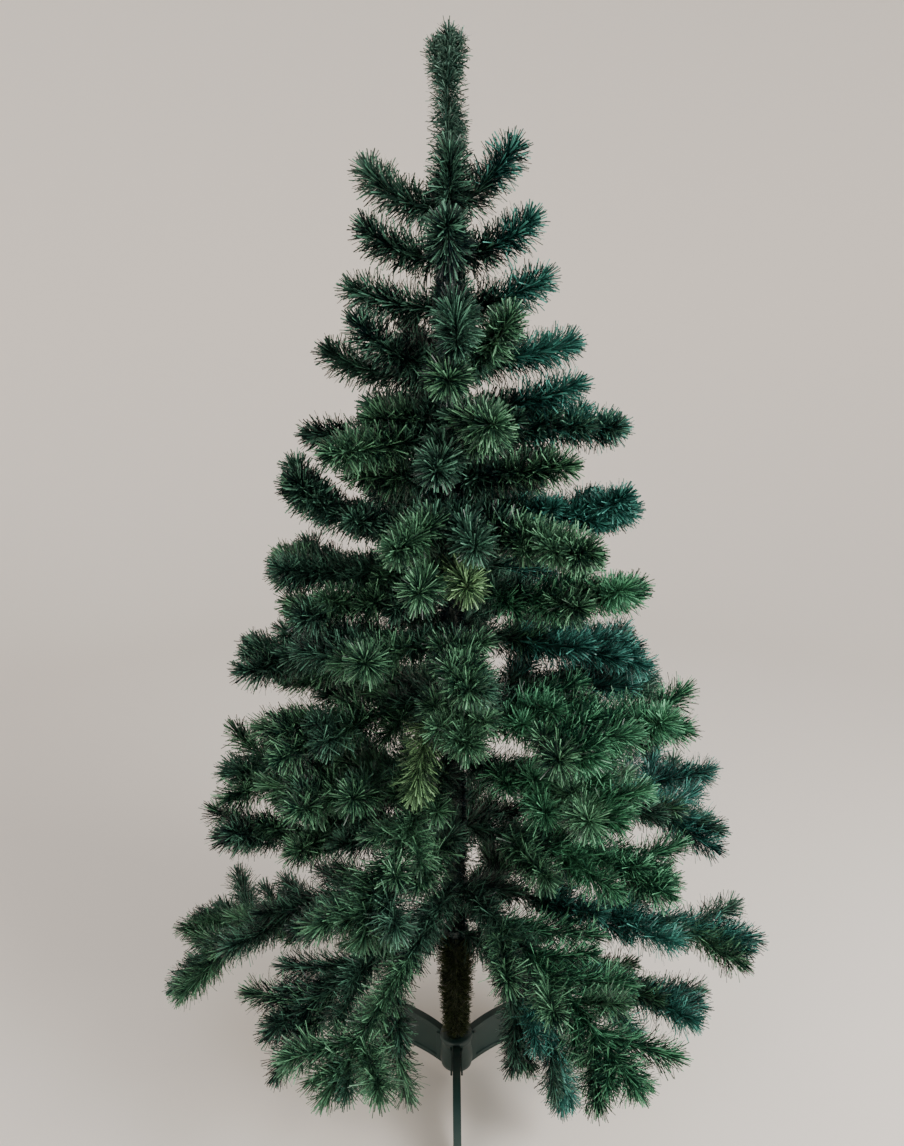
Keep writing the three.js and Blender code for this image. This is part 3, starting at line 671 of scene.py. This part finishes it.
# Needles
# The needles are strips cut in thin green film and caught between the twisted wires, so they
# stand out all round and lean towards the tip. Each is a straight strip of two triangles, cut
# off blunt, and its root, lean and length come from its place on the wire.
NEEDLE_STEP = 0.002  # between the points of a wire that they are set by
NEEDLE_KINDS = {  # number per metre, length, width, and lean from the wire
    "top": (11500, 0.038, 0.0017, 62), "middle": (8400, 0.040, 0.0014, 50),
    "lower": (7400, 0.042, 0.0013, 45), "bottom": (7400, 0.041, 0.0013, 45)}
NEEDLE_LENGTHS = (0.58, 1.14)  # shortest and longest, as shares of the length
NEEDLE_WIDTHS = (0.75, 1.2)
NEEDLE_SPREAD = 23.0  # how unevenly they lean
NEEDLE_ROOT = 0.6  # width at the root, as a share
NEEDLE_TWIST = 0.7
TIP_LEAN = 15.0  # least lean, at the end of a wire
TIP_RUN = 0.030  # over this length they come to it
TIP_ONSET = 1.5  # the higher, the later
TIP_SPLAY = 0.6  # the higher, the fewer lean as little as that
TIP_SHORTER = 0.30
BARE_END = 0.008  # of a stem, by the pole
SHADED_INNER_SHARE = 0.40  # of a stem, by the pole, where its needles take the deepest green as painted shade and stand out more
INNER_LEAN = 6
STEM_CORE = 0.0015  # distance of the roots from the middle of the wire
SIDE_NEEDLES = (0.04, 1.0, 0.97, 0.0012)  # start, shares of number and of length, and core
TWIG_NEEDLES = (0.08, 0.8, 0.88, 0.0010)
# The greens below differ partly as the film's own tones and partly as painted light and painted shade.
NEEDLE_GREENS = {  # dark for painted shade, pale for painted light and glints
    "front_lit": ((0.003, 0.018, 0.010, 1.0), (0.320, 0.600, 0.290, 1.0)),
    "fresh_window_lit": ((0.001, 0.020, 0.012, 1.0), (0.145, 0.450, 0.245, 1.0)),
    "mid": ((0.001, 0.011, 0.009, 1.0), (0.145, 0.360, 0.200, 1.0)),
    "deep_shaded": ((0.0005, 0.006, 0.007, 1.0), (0.105, 0.265, 0.180, 1.0)),
    "teal_window_lit": ((0.0005, 0.014, 0.014, 1.0), (0.095, 0.365, 0.300, 1.0)),
}
SPRAY_MIX = {  # the greens that the sprays of a bough are dealt from
    "front_lit": ["front_lit", "front_lit", "mid"],
    "fresh_window_lit": ["fresh_window_lit", "fresh_window_lit", "mid"],
    "mid": ["mid", "mid", "mid", "mid", "deep_shaded"],
    "deep_shaded": ["deep_shaded", "deep_shaded", "deep_shaded", "mid"],
    "teal_window_lit": ["teal_window_lit", "teal_window_lit", "deep_shaded", "mid"],
}
FILM_GLOSS = 0.32
FILM_ROUGHNESS = (0.24, 0.50)
PATCH_SCALE = 9.0
GLINT_RARITY = 6.0  # the higher, the fewer strips get a painted glint
GLINT_STRENGTH = 2.4
# how much darker each strip is at its root than at its tip, as painted shade inside the brush
ROOT_SHADE_STEP = 0.26
# Below this share a strip keeps the dark green of painted shade.
LIT_START = 0.63
chance = np.random.default_rng(SEED)


def needles_on(wire, start, end, per_metre, length, lean, tip_lean, core, spread=NEEDLE_SPREAD):
    """Roots, directions and lengths of the needles on a wire between two of its places."""
    places, points, along, across, up = frames_along(wire, NEEDLE_STEP)
    total = places[-1]
    count = int(per_metre * total * (end - start))
    spot = (start + (end - start) * (np.arange(count) + chance.random(count)) / max(count, 1)) * total
    ahead = between(spot, places, along)
    ahead /= np.linalg.norm(ahead, axis=1)[:, None]
    angle = chance.random(count) * math.tau
    outward = (between(spot, places, across) * np.cos(angle)[:, None]
               + between(spot, places, up) * np.sin(angle)[:, None])
    near_tip = np.clip(1.0 - (total - spot) / TIP_RUN, 0.0, 1.0) ** TIP_ONSET
    leaning = np.radians(lean + (tip_lean - lean) * near_tip * chance.random(count) ** TIP_SPLAY
                         + chance.normal(0.0, spread, count))
    way = ahead * np.cos(leaning)[:, None] + outward * np.sin(leaning)[:, None]
    sizes = length * chance.uniform(*NEEDLE_LENGTHS, count) * (1.0 - TIP_SHORTER * near_tip)
    return {"root": between(spot, places, points) + outward * core, "way": way, "ahead": ahead,
            "size": sizes}


def strips(sets, width):
    """A straight strip for every needle, with how far along it each vertex lies."""
    root, way, ahead, size = (np.concatenate([given[key] for given in sets])
                              for key in ("root", "way", "ahead", "size"))
    count = len(root)
    across = np.cross(way, ahead + chance.normal(0.0, NEEDLE_TWIST, (count, 3)))
    across /= np.linalg.norm(across, axis=1)[:, None] + 1e-9
    half = across * width / 2 * chance.uniform(*NEEDLE_WIDTHS, (count, 1))
    tip = root + way * size[:, None]
    verts = np.stack([root - half * NEEDLE_ROOT, root + half * NEEDLE_ROOT, tip - half, tip + half], 1)
    base = np.arange(count)[:, None] * 4
    faces = np.stack([base + [[0, 1, 3]], base + [[0, 3, 2]]], 1)
    place = np.tile([0.0, 0.0, 1.0, 1.0], count)
    return verts.reshape(-1, 3), faces.reshape(-1, 3), place


def make_film_group():
    """A green from painted shade to painted light, by strip, by the way along it and by patch, and its
    sheen.
    """
    group, given, out = new_group("needle_film", {"Shaded Green": "Color", "Lit Green": "Color"},
                                  {"Base Color": "Color", "Roughness": "Float"})
    nodes, links = group.nodes, group.links
    strip = nodes.new("ShaderNodeNewGeometry")
    along = nodes.new("ShaderNodeAttribute")
    along.attribute_name = "along"
    place = nodes.new("ShaderNodeTexCoord")
    patch = nodes.new("ShaderNodeTexNoise")
    patch.inputs["Scale"].default_value = PATCH_SCALE
    patch.inputs["Detail"].default_value = 3.0
    # A few strips, at random, are painted pale as glints.
    glint_odds = nodes.new("ShaderNodeMath")
    glint_odds.operation = "POWER"
    glint_odds.inputs[1].default_value = GLINT_RARITY
    glint_and_patch = nodes.new("ShaderNodeMath")
    glint_and_patch.operation = "MULTIPLY_ADD"
    glint_and_patch.inputs[1].default_value = GLINT_STRENGTH
    total = nodes.new("ShaderNodeMath")
    total.operation = "MULTIPLY_ADD"
    total.inputs[1].default_value = ROOT_SHADE_STEP
    painted_lit = nodes.new("ShaderNodeMath")
    painted_lit.operation = "SUBTRACT"
    painted_lit.use_clamp = True
    painted_lit.inputs[1].default_value = LIT_START
    tint = nodes.new("ShaderNodeMix")
    tint.data_type = "RGBA"
    sheen = nodes.new("ShaderNodeMapRange")
    sheen.inputs["To Min"].default_value, sheen.inputs["To Max"].default_value = FILM_ROUGHNESS
    links.new(place.outputs["Object"], patch.inputs["Vector"])
    links.new(strip.outputs["Random Per Island"], glint_odds.inputs[0])
    links.new(glint_odds.outputs["Value"], glint_and_patch.inputs[0])
    links.new(patch.outputs["Fac"], glint_and_patch.inputs[2])
    links.new(along.outputs["Fac"], total.inputs[0])
    links.new(glint_and_patch.outputs["Value"], total.inputs[2])
    links.new(total.outputs["Value"], painted_lit.inputs[0])
    links.new(painted_lit.outputs["Value"], tint.inputs["Factor"])
    links.new(given.outputs["Shaded Green"], tint.inputs["A"])
    links.new(given.outputs["Lit Green"], tint.inputs["B"])
    links.new(strip.outputs["Random Per Island"], sheen.inputs["Value"])
    links.new(tint.outputs["Result"], out.inputs["Base Color"])
    links.new(sheen.outputs["Result"], out.inputs["Roughness"])
    return group


film_group = make_film_group()


def film_material(name, painted_shade, painted_lit):
    """Thin green film, with painted shade at the root of each strip and paler at its tip."""
    material = grouped_material(name, film_group, {"Shaded Green": painted_shade, "Lit Green": painted_lit})
    shader = material.node_tree.nodes["Principled BSDF"]
    shader.inputs["Specular IOR Level"].default_value = FILM_GLOSS
    return material


def needle_piece(name, sets, width, material, nodes):
    """One piece of needles, which stands for the CAD nodes that its sprays grow on."""
    verts, faces, place = strips(sets, width)
    made = mesh_of(name, verts, faces, False)
    layer = made.data.attributes.new("along", "FLOAT", "POINT")
    layer.data.foreach_set("value", place.astype(np.float32))
    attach(made, "root")
    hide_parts(*nodes)
    made.data.materials.append(material)


def bough_sprays(bough, number, length, lean):
    """The needles of one bough, spray by spray, each with the green that it was dealt."""
    stem = bough["stem"]
    bare = BARE_END / length_of(stem)
    mix = SPRAY_MIX[bough["green"]]
    sprays = [
        # The inner part of the stem, by the pole, takes the deepest green as painted shade.
        ("deep_shaded", needles_on(stem, bare, SHADED_INNER_SHARE, number, length, lean + INNER_LEAN, TIP_LEAN,
                            STEM_CORE)),
        (bough["green"], needles_on(stem, SHADED_INNER_SHARE, 1.0, number, length, lean, TIP_LEAN, STEM_CORE))]
    for wires, kind in ((bough["sides"], SIDE_NEEDLES), (bough["twigs"], TWIG_NEEDLES)):
        start, number_share, length_share, core = kind
        for wire in wires:
            green = mix[int(chance.integers(len(mix)))]
            sprays.append((green, needles_on(wire, start, 1.0, number * number_share,
                                             length * length_share, lean, TIP_LEAN, core)))
    return sprays


greens = {green: film_material(f"film_{green}", *pair) for green, pair in NEEDLE_GREENS.items()}
for section, tiers in SECTIONS.items():
    number, length, width, lean = NEEDLE_KINDS[section]
    sprays = {green: [] for green in NEEDLE_GREENS}
    stands_for = {green: set() for green in NEEDLE_GREENS}
    for bough in boughs:
        if bough["tier"] in tiers:
            for green, spray in bough_sprays(bough, number, length, lean):
                sprays[green].append(spray)
                stands_for[green].add(bough["node"])
    for green, sets in sprays.items():
        if sets:
            needle_piece(f"needles_{section}_{green}", sets, width, greens[green],
                         sorted(stands_for[green]))

# Leader
# The top of the tree is a straight brush on the pole's end, with six tips folded up and down
# against it. Its needles are shorter, spread at its end, and blue-green, with painted shade at
# their roots and paler points.
TREE_TOP = 1.800
LEADER_FOOT = POLE_TOP + GAP
TIP_NEEDLES = 0.016  # how far needles run on past the end of the wire
LEADER_FOLDS = [  # height, heading, length, rise at its root and at its end
    (1.719, 83, 0.062, 62, 84), (1.711, -94, 0.066, 60, 86), (1.736, 7, 0.052, 60, 86),
    (1.727, 171, 0.052, 60, 86), (1.702, 107, 0.048, -50, -84), (1.670, 78, 0.042, -45, -84)]
LEADER_NEEDLES = (11000, 0.028, 82, 76, 0.0015)  # number per metre, length, two leans, core
FOLD_NEEDLES = (8000, 0.021, 76, 40, 0.0012)
FOLD_START = 0.05
LEADER_SPREAD = 32
LEADER_WIDTH = 0.0014
LEADER_WIRE = (0.0030, 0.0014)
FOLD_WIRE = (0.0015, 0.0010)
LEADER_GREENS = ((0.006, 0.030, 0.022, 1.0), (0.150, 0.280, 0.220, 1.0))


def upright(foot, length, count):
    """A wire straight up the pole's axis from a height."""
    return lay_wire((0, 0, foot), 0, 90, 90, length, 0, count)


leader_wire = upright(LEADER_FOOT, TREE_TOP - TIP_NEEDLES - LEADER_FOOT, STEM_POINTS)
folds = [lay_wire((0, 0, height), heading, start, end, length, 0, SIDE_POINTS)
         for height, heading, length, start, end in LEADER_FOLDS]
leader_sets = [needles_on(leader_wire, 0.0, 1.0, *LEADER_NEEDLES, LEADER_SPREAD)]
leader_sets += [needles_on(fold, FOLD_START, 1.0, *FOLD_NEEDLES, LEADER_SPREAD) for fold in folds]
leader_film = film_material("film_leader", *LEADER_GREENS)
needle_piece("needles_leader", leader_sets, LEADER_WIDTH, leader_film, ["leader"])
leader_parts = [swept_wire(leader_wire, *LEADER_WIRE)]
leader_parts += [swept_wire(fold, *FOLD_WIRE) for fold in folds]
leader_wires = mesh_of("wires_leader", *joined(leader_parts), True)
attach(leader_wires, "root")
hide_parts("leader")
leader_wires.data.materials.append(wire_film)

# Short needles round the pole
# The tubes are wound with a thin garland, so the pole shows dark and furry between the tiers.
# Its near-black greens are painted shade, for the pole stands in the shade of the boughs.
# Its short needles stand nearly straight out of the tube, from the sleeve up to the leader.
GARLAND_FOOT = 0.300
GARLAND_POINTS = 40
GARLAND_NEEDLES = (22000, 0.010, 66, 60, 0.0125)
GARLAND_WIDTH = 0.0012
# Both greens of the garland are near-black as painted shade.
GARLAND_SHADE_GREENS = ((0.001, 0.004, 0.006, 1.0), (0.020, 0.050, 0.060, 1.0))
garland_shade_film = film_material("film_garland_shade", *GARLAND_SHADE_GREENS)
pole_line = upright(GARLAND_FOOT, POLE_TOP - GARLAND_FOOT, GARLAND_POINTS)
garland = needles_on(pole_line, 0.0, 1.0, *GARLAND_NEEDLES)
needle_piece("pole_garland", [garland], GARLAND_WIDTH, garland_shade_film, ["pole"])

# Needle sleeve
# The foot of the pole is wound more thickly, in a browner green, wide under the lowest boughs
# and close above the hub. Five lots of needles, each longer than the one below, give it that
# taper, on a dark tube of film.
SLEEVE_FOOT = 0.096
SLEEVE_TOP = 0.296
SLEEVE_LAYERS = 5
SLEEVE_LAP = 0.006  # how far one lot runs into the next
SLEEVE_NUMBER = 26000
SLEEVE_REACH = (0.011, 0.027)  # length of the needles at its foot and at its top
SLEEVE_LEAN = 62
SLEEVE_CORE = 0.0155
SLEEVE_WIDTH = 0.0011
SLEEVE_GREENS = ((0.030, 0.045, 0.018, 1.0), (0.085, 0.110, 0.045, 1.0))
TUBE_PROFILE = [(0.0144, SLEEVE_FOOT), (0.0156, SLEEVE_FOOT + 0.001), (0.0166, 0.15),
                (0.0172, SLEEVE_TOP - 0.001), (0.0144, SLEEVE_TOP)]
TUBE_STEPS = 36
TUBE_GREEN = (0.014, 0.020, 0.009, 1.0)
TUBE_WORN = (0.03, 0.04, 0.018, 1.0)
TUBE_ROUGHNESS = 0.7
TUBE_GRAIN = 0.0005


def sleeve_layer(layer):
    """The needles of one layer, counted from the foot."""
    low, high = (SLEEVE_FOOT + (SLEEVE_TOP - SLEEVE_FOOT) * (layer + k) / SLEEVE_LAYERS for k in (0, 1))
    reach = SLEEVE_REACH[0] + (SLEEVE_REACH[1] - SLEEVE_REACH[0]) * (layer + 0.5) / SLEEVE_LAYERS
    line = upright(low, high - low + SLEEVE_LAP, SIDE_POINTS)
    return needles_on(line, 0.0, 1.0, SLEEVE_NUMBER, reach, SLEEVE_LEAN, SLEEVE_LEAN, SLEEVE_CORE)


sleeve_film = film_material("film_sleeve", *SLEEVE_GREENS)
needle_piece("sleeve_needles", [sleeve_layer(layer) for layer in range(SLEEVE_LAYERS)], SLEEVE_WIDTH,
             sleeve_film, ["pole_needle_sleeve"])
sleeve_core = turned(TUBE_PROFILE, TUBE_STEPS, "sleeve_core")
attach(sleeve_core, "root")
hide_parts("pole_needle_sleeve")
sleeve_core.data.materials.append(
    moulded_material("sleeve_base", TUBE_GREEN, TUBE_WORN, TUBE_ROUGHNESS, TUBE_GRAIN))

# Floor and backdrop
# A pale plain sheet lies under the tree and sweeps up all round it at some distance, like a wide
# bowl, so that it stands behind the tree from every side.
SHEET_FLAT = 2.6
SHEET_BEND = 1.4
SHEET_TOP = 4.8
SHEET_STEPS = 96
BEND_STEPS = 16
SHEET_COLOR = (0.88, 0.82, 0.76, 1.0)
SHEET_ROUGHNESS = 0.85


def sheet_profile():
    """Radius and height of the sheet: flat, then a quarter bend, then straight up."""
    points = [(0.0, 0.0), (SHEET_FLAT, 0.0)]
    for i in range(1, BEND_STEPS + 1):
        angle = math.pi / 2 * i / BEND_STEPS
        points.append((SHEET_FLAT + SHEET_BEND * math.sin(angle), SHEET_BEND * (1 - math.cos(angle))))
    return points + [(SHEET_FLAT + SHEET_BEND, SHEET_TOP)]


sheet = turned(sheet_profile(), SHEET_STEPS, "sheet")
if sheet.data.polygons[0].normal.z < 0:
    sheet.data.flip_normals()
sheet_paper = bpy.data.materials.new("sheet_paper")
sheet_paper.use_nodes = True
sheet_shader = sheet_paper.node_tree.nodes["Principled BSDF"]
sheet_shader.inputs["Base Color"].default_value = SHEET_COLOR
sheet_shader.inputs["Roughness"].default_value = SHEET_ROUGHNESS
sheet.data.materials.append(sheet_paper)

# Light and camera
# A broad window light stands on the right, a weaker one on the left, and the room is pale. The
# camera is a little under a standing person's eyes and looks down at the middle of the tree.
ROOM_COLOR = (0.86, 0.93, 1.0, 1.0)
ROOM_STRENGTH = 0.56
LAMP_AIM = (0.0, 0.0, 0.8)
LAMPS = [  # name, place, size, power, color
    ("window", (2.3, -1.5, 2.1), (1.6, 2.0), 135.0, (1.0, 0.98, 0.94)),
    ("room_fill", (-2.2, -2.2, 1.9), (2.0, 2.0), 40.0, (1.0, 0.96, 0.90))]
CAMERA_PLACE = (0.0, -1.45, 1.42)
CAMERA_DOWN = 16.14  # degrees below the level
CAMERA_ROLL = -0.53
CAMERA_LENS = 29.09
CAMERA_SENSOR = 36.0

world = bpy.data.worlds.new("room")
world.use_nodes = True
world.node_tree.nodes["Background"].inputs["Color"].default_value = ROOM_COLOR
world.node_tree.nodes["Background"].inputs["Strength"].default_value = ROOM_STRENGTH
bpy.context.scene.world = world


def area_light(name, place, size, power, color):
    """A rectangular lamp aimed at the tree, which the camera itself doesn't see."""
    data = bpy.data.lights.new(name, "AREA")
    data.shape = "RECTANGLE"
    data.size, data.size_y = size
    data.energy = power
    data.color = color
    lamp = bpy.data.objects.new(name, data)
    lamp.location = place
    way = Vector(LAMP_AIM) - Vector(place)
    lamp.rotation_euler = way.to_track_quat("-Z", "Y").to_euler()
    lamp.visible_camera = False
    bpy.context.collection.objects.link(lamp)


for lamp_values in LAMPS:
    area_light(*lamp_values)

camera_data = bpy.data.cameras.new("camera")
camera_data.lens = CAMERA_LENS
camera_data.sensor_width = CAMERA_SENSOR
camera = bpy.data.objects.new("camera", camera_data)
camera.location = CAMERA_PLACE
camera.rotation_euler = (Matrix.Rotation(math.radians(90.0 - CAMERA_DOWN), 4, "X")
                         @ Matrix.Rotation(math.radians(CAMERA_ROLL), 4, "Z")).to_euler()
bpy.context.collection.objects.link(camera)
bpy.context.scene.camera = camera
